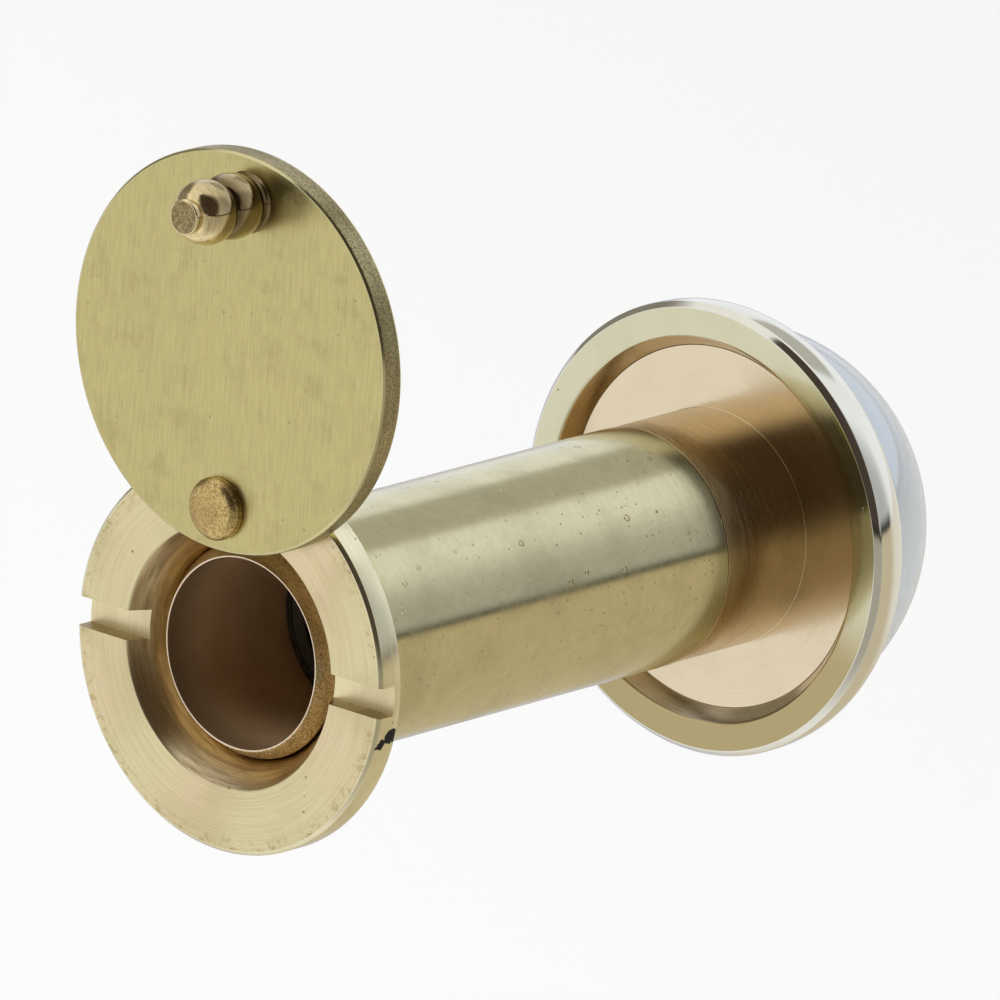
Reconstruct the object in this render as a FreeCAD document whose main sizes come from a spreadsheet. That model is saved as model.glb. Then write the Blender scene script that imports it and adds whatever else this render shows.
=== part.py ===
"""Door viewer: a lensed barrel through a door, with a swing cover on the inside.

Frame, in millimetres: the barrel's axis is Y, +Y points out of the door, +Z is up.
The origin is on that axis, in the plane where the outside bezel bears on the door.
"""
import FreeCAD, Part
import math
import os
import Sketcher

os.makedirs("parts", exist_ok=True)
doc = FreeCAD.newDocument("DoorViewer")
sheet = doc.addObject("Spreadsheet::Sheet", "Dimensions")


# ---------------------------------------------------------------- dimensions

class Length:
    """A length that carries its value and the sheet expression that gives it."""

    def __init__(self, value, text):
        self.value = value
        self.text = text

    def __add__(self, other):
        other = as_length(other)
        return Length(self.value + other.value, f"({self.text} + {other.text})")

    def __sub__(self, other):
        other = as_length(other)
        return Length(self.value - other.value, f"({self.text} - {other.text})")

    def __mul__(self, other):
        other = as_length(other)
        return Length(self.value * other.value, f"({self.text} * {other.text})")

    def __neg__(self):
        return Length(-self.value, f"(-1 * {self.text})")

    def root(self):
        return Length(math.sqrt(self.value), f"sqrt({self.text})")


def as_length(number):
    return number if isinstance(number, Length) else Length(float(number), repr(number))


ZERO = as_length(0)
next_row = 1


def cell(alias, number):
    """Store a driving dimension in the sheet and return it as a Length."""
    global next_row
    sheet.set(f"A{next_row}", alias)
    sheet.set(f"B{next_row}", str(number))
    sheet.setAlias(f"B{next_row}", alias)
    next_row += 1
    return Length(float(number), f"Dimensions.{alias}")


# door and adjustment
door_thickness = cell("door_thickness", 39.2)

# interior sleeve and flange
flange_radius = cell("flange_radius", 11.33)
flange_thickness = cell("flange_thickness", 1.7)
edge_break = cell("edge_break", 0.25)
joint_bevel = cell("joint_bevel", 0.08)
sleeve_radius = cell("sleeve_radius", 7.0)
sleeve_bore = cell("sleeve_bore", 6.28)
eye_radius = cell("eye_radius", 7.6)
eye_depth = cell("eye_depth", 2.3)
slot_width = cell("slot_width", 1.75)
slot_depth = cell("slot_depth", 1.2)

# thread shared by sleeve and barrel
thread_pitch = cell("thread_pitch", 1.0)
thread_depth = cell("thread_depth", 0.28)
thread_turns = cell("thread_turns", 30)
thread_start = cell("thread_start", 8.6)
thread_land = cell("thread_land", 0.07)

# exterior barrel
tube_radius = cell("tube_radius", 6.2)
tube_bore = cell("tube_bore", 5.48)
tube_setback = cell("tube_setback", 1.07)
tube_bevel = cell("tube_bevel", 1.03)
tube_rim = cell("tube_rim", 0.08)
shoulder_radius = cell("shoulder_radius", 6.95)
shoulder_length = cell("shoulder_length", 5.75)
joint_gap = cell("joint_gap", 0.05)
disc_radius = cell("disc_radius", 10.58)
disc_recess = cell("disc_recess", 1.13)
head_radius = cell("head_radius", 12.1)
head_start = cell("head_start", 1.6)
head_thickness = cell("head_thickness", 0.8)
stop_radius = cell("stop_radius", 4.7)
stop_mouth = cell("stop_mouth", 5.9)
stop_depth = cell("stop_depth", 0.6)

# exterior bezel
bezel_radius = cell("bezel_radius", 13.28)
bezel_seat = cell("bezel_seat", 11.34)
bezel_hole = cell("bezel_hole", 10.62)
bezel_bore = cell("bezel_bore", 12.12)
bezel_edge = cell("bezel_edge", 0.32)
bezel_straight = cell("bezel_straight", 1.0)
bezel_crown = cell("bezel_crown", 3.2)
bezel_brow_radius = cell("bezel_brow_radius", 12.7)
bezel_brow = cell("bezel_brow", 2.82)
bezel_bevel = cell("bezel_bevel", 0.4)
bezel_lip = cell("bezel_lip", 11.86)
bezel_height = cell("bezel_height", 3.35)

# objective dome and its seal
seal_thickness = cell("seal_thickness", 0.2)
seal_inner = cell("seal_inner", 9.5)
seal_outer = cell("seal_outer", 12.05)
rim_thickness = cell("rim_thickness", 0.4)
dome_radius = cell("dome_radius", 11.9)
dome_centre = cell("dome_centre", 1.7)
hollow_radius = cell("hollow_radius", 9.2)
hollow_centre = cell("hollow_centre", 2.2)

# inner optics, all in the barrel's bore
glass_radius = cell("glass_radius", 5.46)
second_edge = cell("second_edge", 2.8)
second_front_curve = cell("second_front_curve", 7.5)
second_back_curve = cell("second_back_curve", 20.0)
ring_length = cell("ring_length", 2.5)
ring_inner = cell("ring_inner", 4.6)
third_edge = cell("third_edge", 2.2)
third_curve = cell("third_curve", 9.0)
spacer_length = cell("spacer_length", 19.0)
spacer_inner = cell("spacer_inner", 4.9)
eyepiece_edge = cell("eyepiece_edge", 1.2)
eyepiece_curve = cell("eyepiece_curve", 13.5)
retainer_length = cell("retainer_length", 1.5)
retainer_inner = cell("retainer_inner", 4.5)
retainer_bevel = cell("retainer_bevel", 0.4)
key_width = cell("key_width", 1.0)
key_depth = cell("key_depth", 0.7)

# swing cover, its washer and its rivet
cover_radius = cell("cover_radius", 11.51)
cover_thickness = cell("cover_thickness", 1.4)
cover_gap = cell("cover_gap", 0.2)
cover_round = cell("cover_round", 0.1)
cover_bevel = cell("cover_bevel", 0.1)
pivot_height = cell("pivot_height", 9.0)
pivot_hole = cell("pivot_hole", 0.95)
running_gap = cell("running_gap", 0.03)
shank_radius = cell("shank_radius", 0.9)
washer_radius = cell("washer_radius", 1.8)
rivet_radius = cell("rivet_radius", 1.8)
rivet_height = cell("rivet_height", 0.88)
rivet_wall = cell("rivet_wall", 0.35)
rivet_flat = cell("rivet_flat", 1.45)
rivet_corner = cell("rivet_corner", 0.6)
rivet_crown = cell("rivet_crown", 9.0)
tail_radius = cell("tail_radius", 1.4)
tail_depth = cell("tail_depth", 0.5)

# turned knob on the cover
knob_height = cell("knob_height", 8.85)
knob_offset = cell("knob_offset", 0.65)
stem_radius = cell("stem_radius", 0.8)
foot_radius = cell("foot_radius", 1.78)
waist_radius = cell("waist_radius", 1.6)
foot_length = cell("foot_length", 0.35)
ring_end = cell("ring_end", 2.5)
ring_curve = cell("ring_curve", 2.08)
bulb_end = cell("bulb_end", 4.7)
bulb_curve = cell("bulb_curve", 1.65)
neck_radius = cell("neck_radius", 1.25)
groove_radius = cell("groove_radius", 0.9)
tip_radius = cell("tip_radius", 1.02)
tip_start = cell("tip_start", 4.85)
knob_length = cell("knob_length", 5.3)
tip_bevel = cell("tip_bevel", 0.08)

# stations along the barrel's axis
flange_back = -door_thickness
flange_front = flange_back - flange_thickness
shoulder_end = -shoulder_length
sleeve_end = shoulder_end - joint_gap
tube_end = flange_front + tube_setback
head_end = head_start + head_thickness
lens_base = head_end + seal_thickness
cover_back = flange_front - cover_gap
cover_front = cover_back - cover_thickness
cover_centre = pivot_height * 2


# ---------------------------------------------------------------- helpers

class Bow:
    """A bent edge between two outline points: its radius, bulging away from the outline's inside."""

    def __init__(self, radius, outward=True):
        self.radius = radius
        self.outward = outward


def arc_between(start, end, radius, outward):
    """Arc of the given radius from start to end of an outline that runs anticlockwise."""
    along = end.sub(start)
    half = along.Length / 2
    rise = math.sqrt(max(radius * radius - half * half, 0))
    middle = (start + end) * 0.5
    left = FreeCAD.Vector(-along.y, along.x, 0).normalize()
    centre = middle + left * (rise if outward else -rise)
    circle = Part.Circle(centre, FreeCAD.Vector(0, 0, 1), radius)
    first, last = (start, end) if outward else (end, start)
    turn = [math.atan2(p.y - centre.y, p.x - centre.x) for p in (first, last)]
    if turn[1] < turn[0]:
        turn[1] += 2 * math.pi
    return Part.ArcOfCircle(circle, turn[0], turn[1])


def pin_point(sketch, edge, end, name, across, along):
    """Hold one end of an edge at a radius and a station taken from the sheet."""
    for kind, axis, length in (("DistanceX", -2, across), ("DistanceY", -1, along)):
        if length is ZERO:
            sketch.addConstraint(Sketcher.Constraint("PointOnObject", edge, end, axis))
            continue
        index = sketch.addConstraint(Sketcher.Constraint(kind, edge, end, length.value))
        sketch.renameConstraint(index, f"{name}_{kind[-1]}")
        sketch.setExpression(f"Constraints.{name}_{kind[-1]}", length.text)


def turning_sketch(body, name, outline, aside=ZERO, height=ZERO):
    """Sketch a half section as (radius, station) points, anticlockwise, with Bows between."""
    sketch = body.newObject("Sketcher::SketchObject", name)
    plane = [f for f in body.Origin.OriginFeatures if f.Role == "XY_Plane"][0]
    sketch.AttachmentSupport = [(plane, "")]
    sketch.MapMode = "FlatFace"
    sketch.setExpression("AttachmentOffset.Base.x", aside.text)
    sketch.setExpression("AttachmentOffset.Base.z", height.text)
    corners = [item for item in outline if not isinstance(item, Bow)]
    bows = {}
    for place, item in enumerate(outline):
        if isinstance(item, Bow):
            bows[len([i for i in outline[:place] if not isinstance(i, Bow)]) - 1] = item
    spots = [FreeCAD.Vector(across.value, along.value, 0) for across, along in corners]
    edges = []
    for i, start in enumerate(spots):
        end = spots[(i + 1) % len(spots)]
        bow = bows.get(i)
        if bow:
            edge = sketch.addGeometry(arc_between(start, end, bow.radius.value, bow.outward))
            edges.append((edge, 1, 2) if bow.outward else (edge, 2, 1))
        else:
            edges.append((sketch.addGeometry(Part.LineSegment(start, end)), 1, 2))
    for i, (edge, first, last) in enumerate(edges):
        after, after_first, after_last = edges[(i + 1) % len(edges)]
        sketch.addConstraint(Sketcher.Constraint("Coincident", edge, last, after, after_first))
    for i, (edge, first, last) in enumerate(edges):
        pin_point(sketch, edge, first, f"p{i}", corners[i][0], corners[i][1])
        if i in bows:
            radius = bows[i].radius
            index = sketch.addConstraint(Sketcher.Constraint("Radius", edge, radius.value))
            sketch.renameConstraint(index, f"bow{i}")
            sketch.setExpression(f"Constraints.bow{i}", radius.text)
    return sketch


def turned_body(label, outline):
    """A lathe-turned piece about its own Y axis."""
    body = doc.addObject("PartDesign::Body", label)
    body.Label = label
    turn = body.newObject("PartDesign::Revolution", f"{label}_turning")
    turn.Profile = turning_sketch(body, f"{label}_section", outline)
    turn.ReferenceAxis = (turn.Profile[0], ["V_Axis"])
    turn.Angle = 360
    doc.recompute()
    return body


def turned_cut(body, name, outline, aside=ZERO, height=ZERO):
    """Cut a turned hole or groove, about an axis parallel to Y, out of a body."""
    before = body.Shape.Volume
    groove = body.newObject("PartDesign::Groove", name)
    groove.Profile = turning_sketch(body, f"{name}_section", outline, aside, height)
    groove.ReferenceAxis = (groove.Profile[0], ["V_Axis"])
    groove.Angle = 360
    doc.recompute()
    if not body.Shape.Volume < before:
        raise RuntimeError(f"{name} cut nothing from {body.Label}")
    return groove


def straight_slot(body, name, station, outside, width, depth, upright=False):
    """Cut one slot along X, or along Z if upright, into an end face, from its station towards +Y."""
    before = body.Shape.Volume
    sketch = body.newObject("Sketcher::SketchObject", f"{name}_section")
    plane = [f for f in body.Origin.OriginFeatures if f.Role == "XZ_Plane"][0]
    sketch.AttachmentSupport = [(plane, "")]
    sketch.MapMode = "FlatFace"
    sketch.setExpression("AttachmentOffset.Base.z", (-station).text)
    reach = outside + 1
    half = width * 0.5
    ends = [(reach, -half), (reach, half), (-reach, half), (-reach, -half)]
    if upright:
        ends = [(across, along) for along, across in reversed(ends)]
    spots = [FreeCAD.Vector(x.value, y.value, 0) for x, y in ends]
    for i, start in enumerate(spots):
        sketch.addGeometry(Part.LineSegment(start, spots[(i + 1) % 4]))
    for i in range(4):
        sketch.addConstraint(Sketcher.Constraint("Coincident", i, 2, (i + 1) % 4, 1))
        pin_point(sketch, i, 1, f"p{i}", ends[i][0], ends[i][1])
    pocket = body.newObject("PartDesign::Pocket", name)
    pocket.Profile = sketch
    pocket.setExpression("Length", depth.text)
    doc.recompute()
    if not body.Shape.Volume < before:
        raise RuntimeError(f"{name} cut nothing from {body.Label}")


def thread(body, name, surface, depth, first):
    """Cut a row of V-shaped thread valleys into a bore or a shaft, running towards -Y."""
    flank = thread_pitch * 0.5 - thread_land
    inside = surface + depth
    valley = [(surface, first + flank), (surface, first - flank), (inside, first)]
    if depth.value < 0:
        valley = [(surface, first - flank), (surface, first + flank), (inside, first)]
    groove = turned_cut(body, f"{name}_valley", valley)
    row = body.newObject("PartDesign::LinearPattern", name)
    row.Originals = [groove]
    axis = [f for f in body.Origin.OriginFeatures if f.Role == "Y_Axis"][0]
    row.Direction = (axis, [""])
    row.Reversed = True
    row.setExpression("Length", ((thread_turns - 1) * thread_pitch).text)
    row.setExpression("Occurrences", thread_turns.text)
    body.Tip = row
    before = body.Shape.Volume
    doc.recompute()
    if not body.Shape.Volume < before:
        raise RuntimeError(f"{name} cut nothing from {body.Label}")


def sag(curve, reach):
    """Depth of a spherical surface of radius curve over the half width reach."""
    return curve - (curve * curve - reach * reach).root()


def tube(label, outer, inner, low, high):
    """A plain ring or tube between two stations."""
    return turned_body(label, [(inner, low), (outer, low), (outer, high), (inner, high)])


# ---------------------------------------------------------------- interior side

def make_sleeve():
    """Female-threaded tube with a flange, eye countersink, tightening slots and rivet hole."""
    thread_mouth = sleeve_bore + thread_depth
    body = turned_body("interior_sleeve", [
        (eye_radius, flange_front),
        (flange_radius - edge_break, flange_front),
        (flange_radius, flange_front + edge_break),
        (flange_radius, flange_back),
        (sleeve_radius, flange_back),
        (sleeve_radius, sleeve_end - joint_bevel),
        (sleeve_radius - joint_bevel, sleeve_end),
        (thread_mouth, sleeve_end),
        (sleeve_bore, sleeve_end - thread_depth),
        (sleeve_bore, flange_front + eye_depth),
    ])
    straight_slot(body, "tightening_slots", flange_front, flange_radius, slot_width, slot_depth)
    turned_cut(body, "rivet_hole", [
        (ZERO, flange_front - 1),
        (shank_radius, flange_front - 1),
        (shank_radius, flange_back - tail_depth),
        (tail_radius, flange_back),
        (ZERO, flange_back),
    ], height=pivot_height)
    thread(body, "female_thread", sleeve_bore, thread_depth, -thread_start + thread_pitch)
    return body


def make_washer():
    """Thin friction washer between the flange and the cover."""
    body = tube("cover_washer", washer_radius, pivot_hole, cover_back + running_gap, flange_front)
    body.setExpression("Placement.Base.z", pivot_height.text)
    return body


def make_rivet():
    """Rivet that the cover turns on, with its tail upset flush in the flange's back."""
    under_head = cover_front - running_gap
    head_top = under_head - rivet_height
    crown_edge = head_top + sag(rivet_crown, rivet_flat)
    body = turned_body("cover_rivet", [
        (ZERO, head_top),
        Bow(rivet_crown),
        (rivet_flat, crown_edge),
        Bow(rivet_corner),
        (rivet_radius, under_head - rivet_wall),
        (rivet_radius, under_head),
        (shank_radius, under_head),
        (shank_radius, flange_back - tail_depth),
        (tail_radius, flange_back),
        (ZERO, flange_back),
    ])
    body.setExpression("Placement.Base.z", pivot_height.text)
    return body


def make_cover():
    """Round swing cover, swung fully up: its centre is twice the pivot's height above the axis."""
    body = turned_body("cover_disc", [
        (ZERO, cover_front),
        (cover_radius - cover_round, cover_front),
        Bow(cover_round),
        (cover_radius, cover_front + cover_round),
        (cover_radius, cover_back - cover_bevel),
        (cover_radius - cover_bevel, cover_back),
        (ZERO, cover_back),
    ])
    for name, radius, aside, height in (
        ("pivot_hole", pivot_hole, ZERO, -pivot_height),
        ("knob_hole", stem_radius, knob_offset, knob_height),
    ):
        turned_cut(body, name, [
            (ZERO, cover_front - 1),
            (radius, cover_front - 1),
            (radius, cover_back + 1),
            (ZERO, cover_back + 1),
        ], aside, height)
    body.setExpression("Placement.Base.z", cover_centre.text)
    return body


def make_knob():
    """Turned pull knob: foot, ring, bulb and tip, with a stem through the cover."""
    body = turned_body("cover_knob", [
        (ZERO, cover_front - knob_length),
        (tip_radius - tip_bevel, cover_front - knob_length),
        (tip_radius, cover_front - knob_length + tip_bevel),
        (tip_radius, cover_front - tip_start),
        (groove_radius, cover_front - tip_start + tip_bevel),
        (neck_radius, cover_front - bulb_end),
        Bow(bulb_curve),
        (waist_radius, cover_front - ring_end),
        Bow(ring_curve),
        (waist_radius, cover_front - foot_length),
        (foot_radius, cover_front),
        (stem_radius, cover_front),
        (stem_radius, cover_back),
        (ZERO, cover_back),
    ])
    body.setExpression("Placement.Base.x", knob_offset.text)
    body.setExpression("Placement.Base.z", (cover_centre + knob_height).text)
    return body


# ---------------------------------------------------------------- exterior side

def make_barrel():
    """Male-threaded tube with the shoulder, the disc and the head that carries the dome."""
    body = turned_body("exterior_barrel", [
        (tube_bore, tube_end),
        (tube_bore + tube_rim, tube_end),
        (tube_radius, tube_end + tube_bevel),
        (tube_radius, shoulder_end),
        (shoulder_radius - joint_bevel, shoulder_end),
        (shoulder_radius, shoulder_end + joint_bevel),
        (shoulder_radius, disc_recess),
        (disc_radius - edge_break, disc_recess),
        (disc_radius, disc_recess + edge_break),
        (disc_radius, head_start),
        (head_radius, head_start),
        (head_radius, head_end),
        (stop_mouth, head_end),
        (stop_radius, head_start),
        (stop_radius, -stop_depth),
        (tube_bore, -stop_depth),
    ])
    thread(body, "male_thread", tube_radius, -thread_depth, -thread_start)
    return body


def make_bezel():
    """Polished rim: a flat seat for the door, a recess, a crowned side and a lip over the dome."""
    return turned_body("exterior_bezel", [
        (bezel_seat, ZERO),
        (bezel_radius - bezel_edge, ZERO),
        (bezel_radius, bezel_edge),
        (bezel_radius, bezel_straight),
        Bow(bezel_crown),
        (bezel_brow_radius, bezel_brow),
        (bezel_brow_radius - bezel_bevel, bezel_height),
        (bezel_lip, bezel_height),
        (bezel_lip, lens_base + rim_thickness),
        (bezel_bore, lens_base + rim_thickness),
        (bezel_bore, head_start),
        (bezel_hole, head_start),
        (bezel_hole, disc_recess),
    ])


def make_dome():
    """Objective lens: a thick glass dome with a thin rim under the bezel's lip."""
    rim_top = lens_base + rim_thickness
    rise = rim_top - dome_centre
    dome_foot = (dome_radius * dome_radius - rise * rise).root()
    drop = lens_base - hollow_centre
    hollow_foot = (hollow_radius * hollow_radius - drop * drop).root()
    return turned_body("objective_lens", [
        (hollow_foot, lens_base),
        (head_radius, lens_base),
        (head_radius, rim_top),
        (dome_foot, rim_top),
        Bow(dome_radius),
        (ZERO, dome_centre + dome_radius),
        (ZERO, hollow_centre + hollow_radius),
        Bow(hollow_radius, outward=False),
    ])


# ---------------------------------------------------------------- inner optics

def make_optics():
    """Glasses, spacers and retainer stacked in the barrel's bore against its inner stop."""
    front = -stop_depth
    back = front - second_edge
    second = turned_body("second_lens", [
        (ZERO, back + sag(second_back_curve, ring_inner)),
        Bow(second_back_curve, outward=False),
        (ring_inner, back),
        (glass_radius, back),
        (glass_radius, front),
        (ring_inner, front),
        Bow(second_front_curve, outward=False),
        (ZERO, front - sag(second_front_curve, ring_inner)),
    ])
    ring = tube("spacer_ring", glass_radius, ring_inner, back - ring_length, back)
    front = back - ring_length
    back = front - third_edge
    third = turned_body("third_lens", [
        (ZERO, back),
        (glass_radius, back),
        (glass_radius, front),
        (ring_inner, front),
        Bow(third_curve, outward=False),
        (ZERO, front - sag(third_curve, ring_inner)),
    ])
    spacer = tube("spacer_tube", glass_radius, spacer_inner, back - spacer_length, back)
    front = back - spacer_length
    back = front - eyepiece_edge
    bulge = sag(eyepiece_curve, retainer_inner)
    eyepiece = turned_body("eyepiece_lens", [
        (ZERO, back - bulge),
        Bow(eyepiece_curve),
        (retainer_inner, back),
        (glass_radius, back),
        (glass_radius, front),
        (retainer_inner, front),
        Bow(eyepiece_curve),
        (ZERO, front + bulge),
    ])
    face = back - retainer_length
    retainer = turned_body("eyepiece_retainer", [
        (retainer_inner, back),
        (retainer_inner, face + retainer_bevel),
        (retainer_inner + retainer_bevel, face),
        (glass_radius, face),
        (glass_radius, back),
    ])
    straight_slot(retainer, "key_slots", face, glass_radius, key_width, key_depth, upright=True)
    return [second, ring, third, spacer, eyepiece, retainer]


# ---------------------------------------------------------------- assembly and export

pieces = [make_sleeve(), make_washer(), make_rivet(), make_cover(), make_knob()]
pieces += [make_barrel(), make_bezel(), make_dome()]
pieces += [tube("lens_seal", seal_outer, seal_inner, head_end, lens_base)]
pieces += make_optics()
doc.recompute()

for item in doc.Objects:
    if "Invalid" in item.State or "Error" in item.State:
        raise RuntimeError(f"{item.Label} did not recompute: {item.State}")
for piece in pieces:
    if piece.Shape.isNull() or not piece.Shape.isValid():
        raise RuntimeError(f"{piece.Label} has no valid shape")
for piece in pieces:
    piece.Shape.exportStep(f"parts/{piece.Label}.step")
    print(f"{piece.Label}: {piece.Shape.Volume:.1f} mm3, {len(piece.Shape.Solids)} solid")
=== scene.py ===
"""Looks of the door viewer: turned brass halves, a swing cover, glasses and a plain pale stage."""
import math

import bmesh
import bpy
from mathutils import Matrix, Vector, noise


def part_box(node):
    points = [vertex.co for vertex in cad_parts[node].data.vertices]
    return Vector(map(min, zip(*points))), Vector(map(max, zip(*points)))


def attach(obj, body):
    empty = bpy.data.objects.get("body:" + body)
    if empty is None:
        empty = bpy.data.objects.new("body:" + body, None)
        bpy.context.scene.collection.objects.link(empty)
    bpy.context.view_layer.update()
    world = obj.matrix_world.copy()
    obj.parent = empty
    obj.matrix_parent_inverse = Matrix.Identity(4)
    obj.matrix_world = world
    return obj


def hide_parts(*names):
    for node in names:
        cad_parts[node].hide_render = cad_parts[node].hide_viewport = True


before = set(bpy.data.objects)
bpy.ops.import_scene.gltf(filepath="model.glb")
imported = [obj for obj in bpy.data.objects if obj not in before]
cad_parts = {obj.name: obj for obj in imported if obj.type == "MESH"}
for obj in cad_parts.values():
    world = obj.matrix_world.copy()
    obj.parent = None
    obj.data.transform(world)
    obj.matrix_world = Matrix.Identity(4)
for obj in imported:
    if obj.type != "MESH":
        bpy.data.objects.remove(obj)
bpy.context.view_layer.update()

MM = 0.001
FULL_TURN = 2 * math.pi
SHARP = math.radians(45)

# lengths that count as nothing: between two numbers, and between two points of a mesh in metres
CLOSE = 1e-6
SAME_SPOT = 1e-7


# ---------------------------------------------------------------- sizes, from the frame

def span(node, axis):
    """Lowest and highest place of a CAD node along one axis (0 X, 1 Y, 2 Z), in mm."""
    low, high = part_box(node)
    return low[axis] / MM, high[axis] / MM


flange_front, sleeve_end = span("interior_sleeve", 1)
flange_radius = span("interior_sleeve", 0)[1]
tube_end, head_top = span("exterior_barrel", 1)
head_radius = span("exterior_barrel", 0)[1]
bezel_radius = span("exterior_bezel", 0)[1]
bezel_top = span("exterior_bezel", 1)[1]
dome_base, dome_tip = span("objective_lens", 1)
cover_front, cover_back = span("cover_disc", 1)
cover_radius = span("cover_disc", 0)[1]
cover_height = sum(span("cover_disc", 2)) / 2
rivet_top, flange_back = span("cover_rivet", 1)
rivet_radius = span("cover_rivet", 0)[1]
pivot_height = sum(span("cover_rivet", 2)) / 2
knob_tip = span("cover_knob", 1)[0]
knob_side = sum(span("cover_knob", 0)) / 2
knob_height = sum(span("cover_knob", 2)) / 2
washer_top, washer_base = span("cover_washer", 1)
washer_radius = span("cover_washer", 0)[1]
seal_base, seal_top = span("lens_seal", 1)
seal_radius = span("lens_seal", 0)[1]
retainer_face, retainer_back = span("eyepiece_retainer", 1)
glass_radius = span("eyepiece_lens", 0)[1]
eyepiece_back, eyepiece_front = span("eyepiece_lens", 1)

# turned shapes that the boxes don't tell, in mm

# gap between pieces that lie on each other
FIT = 0.01

# sleeve and its flange
SLEEVE_RADIUS = 7.0
SLEEVE_BORE = 6.28
EDGE_BREAK = 0.2
EYE_RADIUS = 7.6
EYE_DEPTH = 2.3
SLOT_HALF = 0.875
SLOT_DEPTH = 1.2

# thread; THREAD_VALLEY is the share of a turn that one flank takes
THREAD_PITCH = 1.0
THREAD_DEPTH = 0.28
THREAD_FIRST = -8.6
THREAD_LAST = -37.6
THREAD_VALLEY = 0.43
THREAD_FADE = 0.8

# barrel
TUBE_RADIUS = 6.2
TUBE_BORE = 5.48
TUBE_BEVEL = 1.03
INNER_RIM = 0.11
SHOULDER_RADIUS = 6.95
SHOULDER_END = -5.75
JOINT_BEVEL = 0.08
DISC_RADIUS = 10.58
DISC_FACE = 1.13
HEAD_START = 1.6
STOP_RADIUS = 4.7
STOP_MOUTH = 5.9
STOP_DEPTH = 0.6

# bezel and dome
BEZEL_SEAT = 11.34
BEZEL_HOLE = 10.60
BEZEL_BORE = 12.12
BEZEL_EDGE = 0.32
BEZEL_STRAIGHT = 1.0
BEZEL_BROW = 2.82
BEZEL_BROW_RADIUS = 12.7
BEZEL_SIDE_ARC = 3.2
BEZEL_CROWN = 0.4
BEZEL_LIP = 11.86
DOME_RADIUS = 11.9
DOME_CENTRE = 1.7
HOLLOW_RADIUS = 9.2
HOLLOW_CENTRE = 2.2
DOME_RIM = 0.4

# rivet, and how far a cutter reaches past what it cuts
SHANK_RADIUS = 0.9
TAIL_RADIUS = 1.4
TAIL_DEPTH = 0.5
RIVET_FLAT = 1.42
RIVET_CROWN = 0.13
RIVET_FLASH = 0.35
RIVET_GAP = 0.03
CUT_PAST = 1
TAIL_PAST = 0.3

# cover and knob
PIVOT_HOLE = 0.95
STEM_RADIUS = 0.8
COVER_EDGE = 0.13
COVER_BORDER = 0.6
KNOB_TIP = 1.02
KNOB_NECK = 0.90
KNOB_GROOVE = 1.52
KNOB_FOOT = 1.78

# seal, retainer and eyepiece lens
SEAL_INNER = 9.5
RETAINER_INNER = 4.5
RETAINER_BEVEL = 0.4
RETAINER_LINES = (5.02, 5.26)
LINE_HALF = 0.07
KEY_HALF = 0.5
KEY_DEPTH = 0.7
LENS_EDGE = 1.2


# ---------------------------------------------------------------- outlines and meshes

def bow(start, end, radius, left, zone, steps=12):
    """Corners between start and end on an arc; left says which side its centre is on."""
    sx, sy = start
    ex, ey = end
    half = math.hypot(ex - sx, ey - sy) / 2
    rise = math.sqrt(max(radius * radius - half * half, 0))
    nx, ny = (sy - ey) / (2 * half), (ex - sx) / (2 * half)
    side = rise if left else -rise
    cx, cy = (sx + ex) / 2 + nx * side, (sy + ey) / 2 + ny * side
    first = math.atan2(sy - cy, sx - cx)
    last = math.atan2(ey - cy, ex - cx)
    turn = (last - first + math.pi) % FULL_TURN - math.pi
    angles = [first + turn * i / steps for i in range(1, steps)]
    return [(cx + radius * math.cos(angle), cy + radius * math.sin(angle), zone, 0) for angle in angles]


def rounded(corners, steps=3):
    """A closed outline of (radius, station, zone, rounding) corners, with small arcs at the rounded ones.

    Zone is the material of the stretch that leaves the corner. Returns points and their zones."""
    points, zones = [], []
    count = len(corners)
    for i, (r, y, zone, size) in enumerate(corners):
        if not size:
            points.append((r, y))
            zones.append(zone)
            continue
        here = Vector((r, y))
        before = Vector(corners[i - 1][:2]) - here
        after = Vector(corners[(i + 1) % count][:2]) - here
        reach = min(size, before.length * 0.45, after.length * 0.45)
        enter = here + before.normalized() * reach
        leave = here + after.normalized() * reach
        for step in range(steps + 1):
            t = step / steps
            spot = enter * (1 - t) ** 2 + here * 2 * t * (1 - t) + leave * t ** 2
            points.append((spot.x, spot.y))
            zones.append(zone)
    return points, zones


def columns_round(segments, slot_angles):
    """Columns of a turned mesh: (where between its walls, slot index or gap index, in a slot?)."""
    if not slot_angles:
        return [(i / segments, 0, None) for i in range(segments)]
    made = []
    in_gap = segments // len(slot_angles)
    in_slot = 8
    for index in range(len(slot_angles)):
        made += [(i / in_slot, index, True) for i in range(in_slot + 1)]
        made += [(i / in_gap, index, False) for i in range(in_gap + 1)]
    return made


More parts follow.
